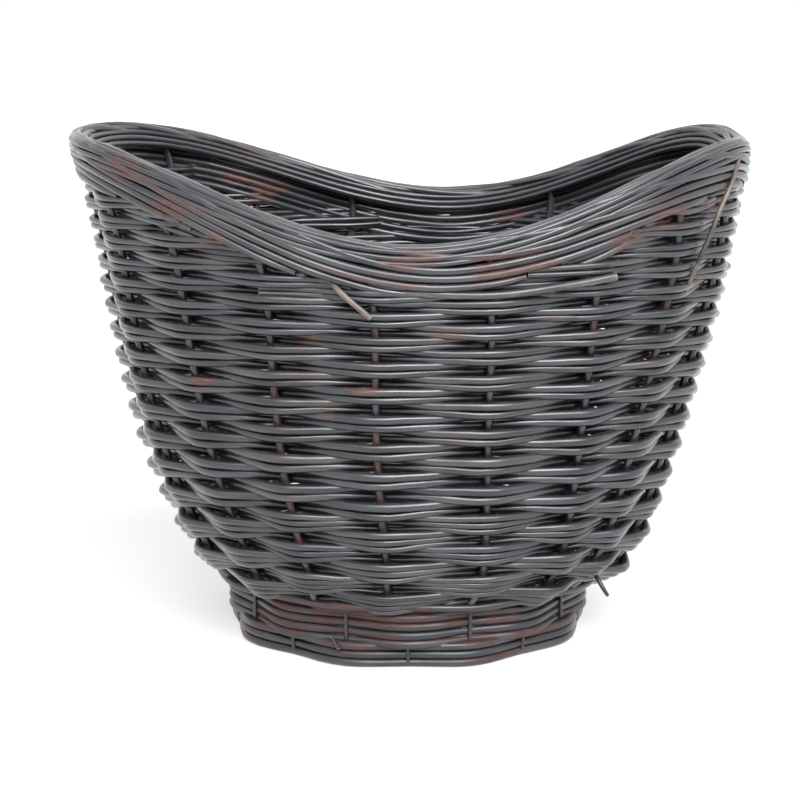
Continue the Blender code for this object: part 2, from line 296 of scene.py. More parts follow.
# %% The willow finish
def willow_finish(name, rubbed_share, shine, under=(brown_dark, brown_pale), pale_ends=0.25, bottom_darkening=0.0):
    """How much is rubbed through, how rough it is, the colours under the stain, and how much darker all
    over it is, with less wax.
    """
    material = bpy.data.materials.new(name)
    material.use_nodes = True
    material.node_tree.nodes.clear()
    bench = Bench(material.node_tree)

    def attribute(label, out):
        settings = {"attribute_type": "GEOMETRY", "attribute_name": label}
        return bench.node("ShaderNodeAttribute", settings, None, out)

    around = attribute("around", 1)
    along = attribute("along", 2)
    tone = attribute("tone", 2)
    lengthwise = bench.node("ShaderNodeCombineXYZ", None, {"Z": along})
    straight = around * noise_radius + lengthwise

    def streaks(across, lengths, detail, shift=0.0):
        """Noise that is stretched along the rod."""
        moved = straight + bench.node("ShaderNodeCombineXYZ", None, {"X": tone * 3.0 + shift})
        stretched = bench.node("ShaderNodeVectorMath", {"operation": "MULTIPLY"},
                               {0: moved, 1: (across, across, lengths)})
        return bench.node("ShaderNodeTexNoise", {"noise_dimensions": "3D"},
                          {"Vector": stretched, "Scale": 1.0, "Detail": detail})

    wrinkles = streaks(*wrinkle_noise)
    cloud = streaks(*cloud_noise)
    patch = streaks(*patch_noise)
    spots = bench.node("ShaderNodeTexVoronoi", None,
                       {"Vector": around * scar_radius + lengthwise
                        + bench.node("ShaderNodeCombineXYZ", None, {"X": tone}), "Scale": scar_scale})
    own_shade = bench.node("ShaderNodeMath", {"operation": "FRACT"}, {0: tone * 13.7})

    plum = bench.smooth_step(tone, *plum_tones)
    olive = bench.smooth_step(tone, *olive_tones)
    dark = bench.mix(olive, bench.mix(plum, blue_black, plum_black), olive_black)
    pale = bench.mix(olive, bench.mix(plum, blue_grey, plum_grey), olive_grey)
    # A darkening value makes the whole stain darker here and the wax thinner below; the foot and the base
    # get it.
    stain = bench.mix(bench.smooth_step(cloud + (own_shade - 0.5) * 0.40 - bottom_darkening, 0.34, 0.72), dark, pale)
    stain = bench.mix(bench.smooth_step(wrinkles, 0.60, 0.80) * 0.5, stain, brown_dark)
    line = 0.74 - 0.28 * rubbed_share
    rubbed = attribute("wear", 2)
    worn = bench.smooth_step(patch + rubbed * wear_effect + (own_shade - 0.5) * 0.14, line, line + 0.22)
    worn = worn * bench.smooth_step(wrinkles, 0.26, 0.52) * 0.85
    brown = bench.mix(bench.smooth_step(wrinkles, 0.35, 0.65), *under)
    colour = bench.mix(worn, stain, brown)
    scar = 1.0 - bench.smooth_step(spots, *scar_edge)
    colour = bench.mix(scar * 0.6, colour, brown_dark)
    cut = (1.0 - bench.smooth_step(attribute("cut", 2), 0.0, cut_length)) * pale_ends
    colour = bench.mix(cut, colour, cut_wood)

    rough = shine + 0.20 * (cloud - 0.5) + 0.14 * (wrinkles - 0.5) + 0.18 * worn + 0.3 * cut
    wax = 0.50 + 0.50 * bench.smooth_step(streaks(*wax_noise), 0.36, 0.62)
    wax = wax * (1.0 - 0.70 * worn) * (1.0 - 2.5 * bottom_darkening)
    height = wrinkles * 0.5 + scar * 0.8 + cloud * 0.4
    bump = bench.node("ShaderNodeBump", None,
                      {"Strength": 0.5, "Distance": 0.00025, "Height": height})
    shader = bench.node("ShaderNodeBsdfPrincipled", None,
                        {"Base Color": colour, "Roughness": rough, "Normal": bump,
                         "IOR": 1.5, "Coat IOR": 1.6, "Coat Roughness": 0.22, "Coat Weight": wax})
    bench.node("ShaderNodeOutputMaterial", None, {"Surface": shader})
    return material


weaver_finish = willow_finish("weaver_finish", 0.28, 0.34)
border_finish = willow_finish("border_finish", 0.52, 0.34)
# The foot and the base are made darker all over, with darker stain and less wax.
foot_finish = willow_finish("foot_finish", 0.90, 0.48, (earth_dark, earth_pale), 0.25, 0.14)
base_finish = willow_finish("base_finish", 0.20, 0.42, (brown_pale, bare_dark), 0.25, 0.14)
end_finish = willow_finish("end_finish", 1.20, 0.40, (bare_dark, bare_pale), 1.0)
print("finishes:", [m.name for m in bpy.data.materials if m.name.endswith("_finish")])

# %% [markdown]
# ## Rods along a route
#
# Every rod of the bowl follows a rule: it goes in front of one stake and behind the next, or over
# the rim and down the outside. The rule gives only a point or two for each stake. A rod is stiff,
# so between those points it takes the smoothest curve, which is what a Catmull-Rom spline gives.
#
# That makes the rods a good job for Geometry Nodes. Python works out the few points of each route,
# with the way up the wall, the rod's thickness, and how many rods lie together. The tree smooths
# the route, lays the rods side by side, lets each wander by a fraction of a millimetre, swells it
# a little at its knots and sweeps a round section along it. It also writes the attributes that
# the finish reads.

# %% The tree that lays the rods
copy_seed = 3.17
route_seed = 1.618
along_seed = 0.73
uneven_rate = 24.0
knot_rate = 165.0
knot_wander = 9.0
knot_sharpness = 14.0
knot_swell = 0.05
sharp_edge = 1.0


def rod_tree():
    tree = bpy.data.node_groups.new("rods_along_routes", "GeometryNodeTree")
    face = tree.interface
    face.new_socket("Geometry", in_out="INPUT", socket_type="NodeSocketGeometry")
    for label, kind in (("Sides", "Int"), ("Step", "Float"), ("Wander", "Float"),
                        ("Wander length", "Float"), ("Thickness change", "Float"),
                        ("Seed", "Float"), ("Finish", "Material")):
        face.new_socket(label, in_out="INPUT", socket_type="NodeSocket" + kind)
    face.new_socket("Geometry", in_out="OUTPUT", socket_type="NodeSocketGeometry")
    bench = Bench(tree)
    given = bench.node("NodeGroupInput")

    def named(label, kind):
        return bench.node("GeometryNodeInputNamedAttribute", {"data_type": kind}, {"Name": label})

    def keep(geometry, label, value, kind):
        return bench.node("GeometryNodeStoreNamedAttribute", {"data_type": kind, "domain": "POINT"},
                          {"Geometry": geometry, "Name": label, "Value": value})

    curve = bench.node("GeometryNodeMeshToCurve", None, {"Mesh": given.other("Geometry")})
    curve = bench.node("GeometryNodeCurveSplineType", {"spline_type": "CATMULL_ROM"}, {"Curve": curve})
    curve = bench.node("GeometryNodeResampleCurve", {"mode": "LENGTH"},
                       {"Curve": curve, "Length": given.other("Step")})
    rods = named("rods", "INT")
    copies = bench.node("GeometryNodeDuplicateElements", {"domain": "SPLINE"},
                        {"Geometry": curve, "Amount": rods})
    which = copies.other("Duplicate Index")
    route = bench.node("ShaderNodeMath", {"operation": "ROUND"}, {0: named("route", "FLOAT")})
    own = which * copy_seed + route * route_seed + given.other("Seed")

    place = bench.node("GeometryNodeInputPosition")
    sway = bench.node("ShaderNodeTexNoise", {"noise_dimensions": "4D"},
                      {"Vector": place, "W": own, "Scale": 1.0 / given.other("Wander length"),
                       "Detail": 1.0})
    sway = bench.node("ShaderNodeVectorMath", {"operation": "SUBTRACT"},
                      {0: sway.other("Color"), 1: (0.5, 0.5, 0.5)})
    stacked = (which - (rods - 1) * 0.5) * named("spread", "FLOAT")
    moved = named("rise", "FLOAT_VECTOR") * stacked + sway * (given.other("Wander") * 3.0)
    laid = bench.node("GeometryNodeSetPosition", None, {"Geometry": copies, "Offset": moved})

    walked = bench.node("GeometryNodeSplineParameter").other("Length")
    whole = bench.node("GeometryNodeSplineLength")
    laid = keep(laid, "cut", bench.smaller(walked, whole - walked), "FLOAT")
    along = walked + own * along_seed
    laid = keep(laid, "along", along, "FLOAT")
    tone = bench.node("ShaderNodeTexWhiteNoise", {"noise_dimensions": "1D"}, {"W": own}, 0)
    laid = keep(laid, "tone", tone, "FLOAT")

    uneven = bench.node("ShaderNodeTexNoise", {"noise_dimensions": "1D"},
                        {"W": along * uneven_rate, "Scale": 1.0, "Detail": 2.0})
    knot = bench.node("ShaderNodeMath", {"operation": "SINE"},
                      {0: along * knot_rate + uneven * knot_wander})
    knot = bench.larger(knot, 0.0) ** knot_sharpness
    fuller = 1.0 + (uneven - 0.5) * given.other("Thickness change") + knot * knot_swell
    radius = named("thick", "FLOAT") * 0.5 * fuller

    section = bench.node("GeometryNodeCurvePrimitiveCircle", {"mode": "RADIUS"},
                         {"Resolution": given.other("Sides"), "Radius": 1.0})
    section = keep(section, "around", bench.node("GeometryNodeInputPosition"), "FLOAT_VECTOR")
    mesh = bench.node("GeometryNodeCurveToMesh", None,
                      {"Curve": laid, "Profile Curve": section, "Scale": radius, "Fill Caps": True})
    mesh = bench.node("GeometryNodeSetShadeSmooth", {"domain": "FACE"},
                      {"Geometry": mesh, "Shade Smooth": True})
    bend = bench.node("GeometryNodeInputMeshEdgeAngle")
    corner = bench.node("FunctionNodeCompare", {"data_type": "FLOAT", "operation": "GREATER_THAN"},
                        {0: bend, 1: sharp_edge})
    mesh = bench.node("GeometryNodeSetShadeSmooth", {"domain": "EDGE"},
                      {"Geometry": mesh, "Selection": corner, "Shade Smooth": False})
    mesh = bench.node("GeometryNodeRealizeInstances", None, {"Geometry": mesh})
    mesh = bench.node("GeometryNodeSetMaterial", None,
                      {"Geometry": mesh, "Material": given.other("Finish")})
    bench.node("NodeGroupOutput", None, {"Geometry": mesh})
    return tree


rods_along_routes = rod_tree()
print(len(rods_along_routes.nodes), "nodes lay the rods")

# %% [markdown]
# ## Worn places
#
# Wear isn't spread evenly. It shows where the bowl is gripped, on the front of the border and on
# a few stakes that stand proud, and round the foot, which is dragged about. Each worn place is a
# centre and a size. A mesh point near the centre gets a number close to 1, and the finish turns
# that into brown streaks.

# %% Where the stain is rubbed thin
wall_wear = (
    (13.22, 0.2160, 0.020), (13.38, 0.2190, 0.018), (14.32, 0.2140, 0.020), (14.10, 0.2110, 0.019),
    (13.95, 0.2110, 0.016), (11.53, 0.2230, 0.018), (12.38, 0.1730, 0.019), (13.70, 0.1260, 0.018),
    (12.55, 0.1380, 0.019), (10.60, 0.2560, 0.027), (11.10, 0.2400, 0.024), (15.30, 0.2240, 0.024),
    (15.75, 0.2330, 0.024), (16.60, 0.2350, 0.024), (12.90, 0.1500, 0.016), (14.60, 0.1850, 0.016),
    (13.60, 0.1780, 0.018), (16.40, 0.1950, 0.019), (11.20, 0.1500, 0.019),
)
inside_wear = (
    (5.88, 0.2230, 0.022), (6.30, 0.2300, 0.018), (1.77, 0.2210, 0.020), (1.57, 0.2280, 0.019),
    (3.40, 0.2080, 0.019),
)
stake_wear = (
    (12, 0.065, 0.155), (13, 0.080, 0.130), (13, 0.155, 0.185), (16, 0.150, 0.205),
    (15, 0.170, 0.190), (4, 0.170, 0.200), (10, 0.120, 0.150), (1, 0.190, 0.210),
)
foot_wear = (
    (250.0, 0.018, 0.010), (250.0, 0.026, 0.010), (290.0, 0.018, 0.010), (290.0, 0.026, 0.010),
    (286.5, 0.025, 0.014), (228.5, 0.028, 0.022), (292.0, 0.015, 0.015), (264.0, 0.027, 0.016),
    (244.0, 0.026, 0.018), (228.0, 0.020, 0.020), (251.0, 0.030, 0.015), (272.0, 0.030, 0.015),
    (312.0, 0.012, 0.018), (300.0, 0.022, 0.016), (216.0, 0.014, 0.016),
)
worn_depth = 0.0055
inside_depth = -0.0050
wear_flatness = 1.8
stake_wear_size = 0.0180
stake_wear_step = 0.0060


def polar(radius, angle, level):
    return Vector((radius * math.cos(angle), radius * math.sin(angle), level))


def along_stake(index, lowest, highest):
    """Worn places one above the other on a stake."""
    count = round((highest - lowest) / stake_wear_step) + 1
    levels = [lowest + step * stake_wear_step for step in range(count)]
    return [(wall_point(stake_angle(index, level), level), stake_wear_size) for level in levels]


def on_the_wall(worn_places, depth):
    return [(wall_point(stake_angle(place, level), level, depth), size)
            for place, level, size in worn_places]


on_wall = on_the_wall(wall_wear, worn_depth) + on_the_wall(inside_wear, inside_depth)
on_stakes = on_wall + [worn for stretch in stake_wear for worn in along_stake(*stretch)]
on_foot = [(polar(foot_radius + worn_depth, math.radians(angle), level), size)
           for angle, level, size in foot_wear]


def rub(mesh, worn_places):
    """Write how much each point of a mesh has been rubbed."""
    wear = [0.0] * len(mesh.vertices)
    finder = KDTree(len(mesh.vertices))
    for index, vertex in enumerate(mesh.vertices):
        finder.insert(vertex.co, index)
    finder.balance()
    for centre, size in worn_places:
        for place, index, distance in finder.find_range(centre, size):
            far = math.hypot(distance, wear_flatness * (place.z - centre.z)) / size
            wear[index] = max(wear[index], 1.0 - far)
    mesh.attributes.new("wear", "FLOAT", "POINT").data.foreach_set("value", wear)


print(len(on_stakes) + len(on_foot), "worn places")

# %% [markdown]
# ## From routes to a piece
#
# A route is written as a chain of edges with its numbers as attributes of the points. After the
# tree has run, the result is turned into a plain mesh and the modifier is gone, so the piece is
# only faces from then on. The piece then rides on the bowl's one body, and the CAD pieces that it
# redraws are hidden.

# %% Make a piece from its routes
class Route:
    """The few points that a rod, or a group of rods side by side, goes through."""

    def __init__(self, rods=1):
        self.rods = rods
        self.places = []
        self.rises = []
        self.thick = []
        self.spread = []

    def add(self, place, rise, thick, spread=0.0):
        self.places.append(place)
        self.rises.append(rise)
        self.thick.append(thick)
        self.spread.append(spread)

    def add_on_wall(self, angle, level, outward, thick, spread=0.0, lean=0.0):
        """With a lean, the upper rod of a pair stands further out. Inside, a rod keeps its level."""
        rise = wall_rise(angle, level) + wall_out(angle, level) * lean
        place = wall_point(angle, level, outward)
        if outward < 0:
            place.z = level
        self.add(place, rise, thick, spread)


piece_sizes = {}


def weave_piece(name, routes, nodes, finish, worn, sides=10, step=0.0028, wander=0.0003,
                wander_length=0.030, change=0.18, seed=0.0):
    places = []
    edges = []
    values = {"thick": [], "spread": [], "route": [], "rods": []}
    rises = []
    for number, route in enumerate(routes):
        first = len(places)
        count = len(route.places)
        places += route.places
        edges += [(first + index, first + index + 1) for index in range(count - 1)]
        rises += route.rises
        values["thick"] += route.thick
        values["spread"] += route.spread
        values["route"] += [float(number)] * count
        values["rods"] += [route.rods] * count
    chain = bpy.data.meshes.new(name + "_routes")
    chain.from_pydata(places, edges, [])
    for label, kind in (("thick", "FLOAT"), ("spread", "FLOAT"), ("route", "FLOAT"), ("rods", "INT")):
        chain.attributes.new(label, kind, "POINT").data.foreach_set("value", values[label])
    flat = [part for rise in rises for part in rise]
    chain.attributes.new("rise", "FLOAT_VECTOR", "POINT").data.foreach_set("vector", flat)

    maker = bpy.data.objects.new(name + "_maker", chain)
    bpy.context.scene.collection.objects.link(maker)
    modifier = maker.modifiers.new("rods", "NODES")
    modifier.node_group = rods_along_routes
    given = {"Sides": sides, "Step": step, "Wander": wander, "Wander length": wander_length,
             "Thickness change": change, "Seed": seed, "Finish": finish}
    for item in rods_along_routes.interface.items_tree:
        if item.in_out == "INPUT" and item.name in given:
            modifier[item.identifier] = given[item.name]
    bpy.context.view_layer.update()
    seen = maker.evaluated_get(bpy.context.evaluated_depsgraph_get())
    mesh = bpy.data.meshes.new_from_object(seen)
    bpy.data.objects.remove(maker)
    mesh.name = name
    rub(mesh, worn)
    piece = bpy.data.objects.new(name, mesh)
    bpy.context.scene.collection.objects.link(piece)
    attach(piece, "root")
    if nodes:
        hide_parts(*nodes)
    mesh.calc_loop_triangles()
    piece_sizes[name] = len(mesh.loop_triangles)
    print(name, len(routes), "routes,", piece_sizes[name], "triangles")


# %% [markdown]
# ## The wall
#
# The wall is twenty-two level rounds. Most have two rods, the six lowest have three, and the
# lowest two of those have four. Each round passes in front of every second stake, and the next
# round passes in front of the others, so the fronts of the passes stand like bricks. The rounds
# get closer towards the mouth, because thinner rods are kept for the top. Where a pass is in front
# of a stake its rods spread and bulge over the rounds above and below. Half way between two stakes
# they squeeze past their neighbours. That is what makes a beaten wall so dense.
#
# On the real bowl no round is a closed ring. Its rods start as a cut butt behind one stake and run
# out behind another. So each route here starts inside, just before a stake, and ends inside, just
# past the same stake. Which stake it is changes from round to round.

# %% Rounds of the wall
row_count = 22
wall_bottom = foot_height + 0.00415
border_pitch = 0.00445
border_length_shares = 6.3
border_depth = border_pitch * (border_length_shares - 1) + stake_diameter
wall_top = rim_height_side - border_depth - 0.0008
row_thinning = 0.19
row_fullness = 1.25
low_row_fullness = 1.40
half_way_spread = 1.10
stake_spread = 1.06
pair_lean = 0.25
thickest_weaver = 0.0050
bend_share = 0.14
bend_reach = 0.86
three_rod_rounds = 6
four_rod_rounds = 2
fullness_change = (0.95, 1.04)
butt_share = 0.3
tip_end_share = 0.35
end_reach = 1.6
least_rise = 0.5
slow_sway = 0.0006
quick_sway = 0.0004
touch = 0.0003
chance = random.Random(11)


def row_edge(row):
    share = row / row_count
    climbed = share * (1 + row_thinning) - row_thinning * share * share
    return wall_bottom + (wall_top - wall_bottom) * climbed


def hand_sway(angle, level):
    """No round lies quite level. Neighbours rise and fall together."""
    return slow_sway * math.sin(2 * angle + 1.3) + quick_sway * math.sin(5 * angle + 30 * level)


def wall_round(row):
    """One round: where it goes, from its butt to its tip."""
    bottom = row_edge(row)
    height = row_edge(row + 1) - bottom
    middle = bottom + height / 2
    rods = 2 + (row < three_rod_rounds) + (row < four_rod_rounds)
    fullness = low_row_fullness if row < three_rod_rounds else row_fullness
    fullness *= chance.uniform(*fullness_change)
    route = Route(rods)
    start = chance.randrange(stake_count)
    if (start + row) % 2:
        start += 1
    last = start + stake_count
    places = [start - butt_share]
    for index in range(start, last + 1):
        places += [index - bend_share, index, index + bend_share, index + 0.5]
    places[-1] = last + tip_end_share
    for place in places:
        level = middle + hand_sway(stake_angle(place, middle), middle)
        angle = stake_angle(place, level)
        face = height / max(wall_rise(angle, level).z, least_rise)
        thick = min(fullness * face / rods, thickest_weaver)
        reach = stake_radius + thick / 2 + touch
        nearest = round(place)
        side = 1 if (nearest + row) % 2 else -1
        off = abs(place - nearest)
        if place in (places[0], places[-1]):
            route.add_on_wall(angle, level, -reach * end_reach, thick, thick)
        elif off > bend_share * 2:
            route.add_on_wall(angle, level, 0.0, thick, face / rods * half_way_spread, pair_lean)
        else:
            outward = side * reach * (bend_reach if off else 1.0)
            route.add_on_wall(angle, level, outward, thick, thick * stake_spread, pair_lean)
    return route


def wall_nodes(rows):
    return [f"wall_row_{row + 1:02d}" for row in rows]


for name, rows in (("lower_wall", range(0, 7)), ("middle_wall", range(7, 15)),
                   ("upper_wall", range(15, row_count))):
    weave_piece(name, [wall_round(row) for row in rows], wall_nodes(rows),
                weaver_finish, on_wall, wander=0.00048, seed=float(rows[0]))

# %% [markdown]
# ## The stakes and the border
#
# Each stake comes up through the wall. At the rim it leans over, goes behind the next stake, over
# the top and down the outside, crossing the fronts of its neighbours a rod's width lower at each
# stake. Eighteen of them doing the same make the thick rolled border, which holds the basket
# together without a nail. It is the weaver's most skilful work, so it keeps the CAD model's path
# closely. The real rods swell a little there and press together, so these do too.

# %% Stakes that roll into the border
border_spacing = 0.0045
border_tuck = 0.0100
border_step_share = 0.5
border_out_shares = (0.0, -0.70, -0.95, -0.45, 0.25, 0.74, 0.88, 0.88)
border_depth_shares = (1.0, 0.55, 0.24, 0.12, 0.13, 0.44, 0.84, 1.16)
border_swell = 1.08
tip_share = 0.92
tip_tuck = 0.45
stake_levels = 13
stake_first_level = 3
stake_level_power = 2.7


def border_place(index, steps):
    """Angle, level and outward reach of a stake's border end, a number of stakes on."""
    entry = round(steps / border_step_share)
    angle = (index + stake_phase_share + steps) * stake_step
    outward = border_spacing * border_out_shares[min(entry, len(border_out_shares) - 1)]
    if entry < len(border_depth_shares):
        depth = border_tuck * border_depth_shares[entry]
    else:
        depth = border_pitch * (steps - 1)
    return angle, rim_line(angle) - depth, outward


def stake_route(index):
    route = Route()
    top = rim_line(stake_angle(index, rim_height_end)) - border_tuck
    levels = [foot_height + seat_gap + stake_radius]
    for step in range(stake_first_level, stake_levels):
        levels.append(bowl_bottom + (top - bowl_bottom) * (step / stake_levels) ** stake_level_power)
    for level in levels:
        route.add_on_wall(stake_angle(index, level), level, 0.0, stake_diameter)
    steps = int(border_length_shares / border_step_share)
    for step in range(steps + 1):
        angle, level, outward = border_place(index, step * border_step_share)
        swell = border_swell * (1.0 - (1.0 - tip_share) * step / steps)
        route.add_on_wall(angle, level, outward, stake_diameter * swell)
    angle, level, outward = border_place(index, border_length_shares)
    route.add_on_wall(angle, level, outward * tip_tuck, stake_diameter * tip_share)
    return route


weave_piece("stakes_and_border", [stake_route(index) for index in range(stake_count)],
            [f"stake_{index + 1:02d}" for index in range(stake_count)],
            border_finish, on_stakes, wander=0.00028, wander_length=0.045, seed=40.0)

# %% [markdown]
# ## Under and over the border
#
# A border rolled straight onto the stakes would leave holes. A weaver first works a few thin
# rounds that follow the rim's curve, in and out of the stakes. From the inside these are what
# closes the wall up to the rim. Thinner rods are then laid round the rim among the rolled
# strands, side by side, so the top of the border reads as one bundle. Each starts and ends at a
# place of its own, thin and tucked in.

# %% Rounds that follow the rim
head_depths = (0.0088, 0.0128, 0.0168, 0.0208, 0.0248, 0.0288)
head_thick = 0.0039
head_in = -0.0039
head_out = 0.0022
bundle_rods = ((-0.0033, 0.0022), (-0.0012, 0.0006), (0.0014, 0.0007), (0.0032, 0.0024),
               (0.0042, 0.0052), (0.0043, 0.0082), (-0.0052, 0.0046), (-0.0064, 0.0074),
               (-0.0068, 0.0104), (-0.0040, 0.0090))
bundle_thick = 0.0030
bundle_tip = 0.0016
bundle_tuck = 0.0015
tuck_narrowing = 200
bundle_start_step = 5.3


def head_round(number, depth):
    route = Route()
    for half in range(-1, 2 * stake_count + 2):
        place = half / 2 + number * 3
        angle = stake_angle(place, rim_height_side)
        level = rim_line(angle) - depth
        if half % 2:
            outward = (head_in + head_out) / 2
        else:
            outward = head_out if (half // 2 + number) % 2 else head_in
        route.add_on_wall(angle, level, outward, head_thick)
    return route


def bundle_round(number, outward, depth):
    """A thin rod laid right round the rim, its two ends tucked in under its neighbours."""
    route = Route()
    start = number * bundle_start_step
    count = 2 * stake_count + 2
    for half in range(count + 1):
        angle = stake_angle(start + half / 2, rim_height_side)
        at_end = half in (0, count)
        tuck = bundle_tuck if at_end else 0.0
        route.add_on_wall(angle, rim_line(angle) - depth - tuck, outward * (1 - tuck_narrowing * tuck),
                          bundle_tip if at_end else bundle_thick)
    return route


head_routes = [head_round(number, depth) for number, depth in enumerate(head_depths)]
weave_piece("rounds_under_border", head_routes, [], weaver_finish, on_wall,
            wander=0.0003, seed=50.0)
bundle_routes = [bundle_round(number, *place) for number, place in enumerate(bundle_rods)]
weave_piece("rim_bundle", bundle_routes, [], border_finish, on_wall,
            wander=0.0003, wander_length=0.040, seed=55.0)

# %% [markdown]
# ## Packing under the raised ends
#
# Level rounds can't fill a rim that rises at both ends. The weaver packs the two ends with extra
# laps, each shorter than the one below, and hides their turns behind the border. Each lap here
# runs level between the two places where it meets the border and slips in behind it there.

# %% Laps at the two ends
packing_count = 8
packing_pitch = 0.0054
packing_cover = 0.0215
tucked_reach = 0.0024
widest_lap = 6
search_step = 0.05
end_room = 0.4


def lap_limit(middle, level, way):
    """How many stakes away from the middle of the end the border comes down over this lap."""
    place = 0.0
    while rim_line(stake_angle(middle + way * place, level)) - packing_cover > level and place < widest_lap:
        place += search_step
    return place


def packing_lap(middle, lap):
    level = wall_top + (lap + 0.5) * packing_pitch
    thick = packing_pitch * row_fullness / 2
    reach = stake_radius + thick / 2 + touch
    first = middle - lap_limit(middle, level, -1)
    last = middle + lap_limit(middle, level, 1)
    halves = range(math.ceil(2 * first + end_room), math.floor(2 * last - end_room) + 1)
    route = Route(2)
    for place in [first] + [half / 2 for half in halves] + [last]:
        here = level + hand_sway(stake_angle(place, level), level)
        angle = stake_angle(place, here)
        if place in (first, last):
            route.add_on_wall(angle, here, tucked_reach, thick, packing_pitch / 2)
        elif place != int(place):
            route.add_on_wall(angle, here, 0.0, thick, packing_pitch / 2)
        else:
            side = 1 if (int(place) + row_count + lap) % 2 else -1
            route.add_on_wall(angle, here, side * reach, thick, thick * stake_spread)
    return route


for name, middle, node in (("right_end_packing", 0, "end_packing_right"),
                           ("left_end_packing", stake_count // 2, "end_packing_left")):
    weave_piece(name, [packing_lap(middle, lap) for lap in range(packing_count)], [node],
                weaver_finish, on_wall, wander=0.00025, seed=60.0 + middle)

# %% [markdown]
# ## Loose ends
#
# A hand-woven bowl is never quite tidy. A few butts and tips stand free: a short one crosses the
# wall below the border, a long one runs along the border's lower edge, and a long thin one hangs
# down at the right. They have lost their stain, so they are pale. Each is a route of its own.

# %% Butts and tips that stand free
wall_ends = (
    (0.0032, 0.0030, ((12.62, 0.2050, 0.0010), (12.72, 0.2000, 0.0056), (12.97, 0.1880, 0.0068))),
    (0.0038, 0.0042, ((13.20, 0.2000, 0.0020), (13.95, 0.1990, 0.0056), (14.55, 0.2020, 0.0064),
                      (15.12, 0.2060, 0.0076))),
    (0.0026, 0.0022, ((16.98, 0.2600, 0.0044), (16.70, 0.2480, 0.0066), (16.50, 0.2360, 0.0070),
                      (16.38, 0.2230, 0.0064), (16.25, 0.2070, 0.0058), (16.20, 0.1900, 0.0030))),
)


def loose_end(thick, tip_thick, places):
    route = Route()
    for number, (place, level, outward) in enumerate(places):
        share = number / (len(places) - 1)
        route.add_on_wall(stake_angle(place, level), level, outward, thick + (tip_thick - thick) * share)
    return route


weave_piece("loose_ends", [loose_end(*end) for end in wall_ends], [], end_finish,
            on_stakes, step=0.0015, wander=0.0001, seed=70.0)

# %% [markdown]
# ## The foot
#
# The bowl stands on a round foot, two bands of thick rods woven round the turned-down ends of the
# base rods. Plain rings behind them keep the light out. Where the wall leaves the foot it has a
# shoulder, which is wide at the two ends, and plain rounds close it.

# %% Bands, shoulder and lining
foot_rod = 0.0041
foot_lower_rods = 3
foot_upper_rods = 4
foot_stake = 0.0022
foot_overlap = 0.0024
foot_wave = 0.72
lining_levels = (0.0070, 0.0110, 0.0150, 0.0190)
lining_depth = 0.0030
close_fit = 1.02
foot_cover = 0.0004
upset_rises = (0.0012, 0.0046)
upset_reaches = (0.0008, 0.0024)
shoulder_rise = 0.0012
shoulder_inset = 0.0012
shoulder_wave = 0.0018
shoulder_shares = (0.18, 0.38, 0.58, 0.78)
foot_end_reach = 0.0030
foot_end_lean = 3
upward = Vector((0, 0, 1))


def foot_round(bottom, top, rods, phase):
    """A band of the foot. The bands lap a little, so no light shows between them."""
    route = Route(rods)
    pitch = (top - bottom) / rods
    reach = (foot_stake / 2 + pitch / 2) * foot_wave
    level = (bottom + top) / 2
    for place in range(-1, stake_count + 1):
        side = 1 if (place + phase) % 2 else -1
        outward = side * reach
        if place in (-1, stake_count):
            outward = -reach
        angle = (place + 0.5) * stake_step
        route.add(polar(foot_radius + outward, angle, level), upward, pitch * close_fit, pitch)
    return route


def upset_round(level, phase):
    """A round that closes the corner where the stakes leave the base."""
    route = Route()
    for place in range(-1, stake_count + 1):
        outward = upset_reaches[(place + phase) % 2]
        route.add_on_wall((place + 0.5) * stake_step, level, outward, foot_rod)
    return route


def shoulder_round(share, phase):
    """A round on the shoulder, which is wide at the two ends, where the wall leaves the foot."""
    route = Route()
    for place in range(-1, stake_count + 1):
        angle = (place + 0.5) * stake_step
        foot_side = polar(foot_radius - shoulder_inset, angle, foot_height + shoulder_rise)
        wall_side = wall_point(angle, wall_bottom + shoulder_rise, -shoulder_inset)
        side = 1 if (place + phase) % 2 else -1
        point = foot_side.lerp(wall_side, share) + Vector((0, 0, side * shoulder_wave))
        route.add(point, upward, foot_rod)
    return route


def lining_round(level):
    """A plain ring behind the foot's stakes."""
    route = Route()
    for place in range(stake_count + 1):
        route.add(polar(foot_radius - lining_depth, place * stake_step, level), upward, foot_rod)
    return route


def foot_end(angle, top, bottom, thick):
    """A rod end that points down the outside of the foot."""
    route = Route()
    for share in (0.0, 0.5, 1.0):
        level = top + (bottom - top) * share
        turned = math.radians(angle + foot_end_lean * share)
        route.add(polar(foot_radius + foot_end_reach * (1 + share), turned, level), upward, thick)
    return route


foot_seam = foot_lower_rods * foot_rod
foot_routes = [foot_round(seat_gap, foot_seam + foot_overlap / 2, foot_lower_rods, 1),
               foot_round(foot_seam - foot_overlap / 2, foot_height + foot_cover, foot_upper_rods, 0)]
foot_routes += [upset_round(foot_height + rise, phase) for phase, rise in enumerate(upset_rises)]
foot_routes.append(foot_end(246.0, 0.0150, 0.0100, 0.0020))
foot_routes += [shoulder_round(share, index) for index, share in enumerate(shoulder_shares)]
foot_routes += [lining_round(level) for level in lining_levels]

# A thin tip that curls out over the foot at the right
stray_tip = Route()
for place, thick in (((0.0965, -0.0540, 0.0430), 0.0026), ((0.0996, -0.0590, 0.0385), 0.0025),
                     ((0.1022, -0.0618, 0.0340), 0.0022), ((0.1049, -0.0620, 0.0298), 0.0018)):
    stray_tip.add(Vector(place), upward, thick)
foot_routes.append(stray_tip)
weave_piece("foot_weave", foot_routes, ["foot_row_lower", "foot_row_upper"],
            foot_finish, on_foot, wander=0.0002, seed=80.0)

# %% [markdown]
# ## The base
#
# The base is a star: a cross of nine rods, five one way and four the other, bound by two rounds,
# opened out and woven round. The ends of the rods turn down and are the stakes of the foot. None
# of it is seen from the front, but from above it is the floor of the bowl.

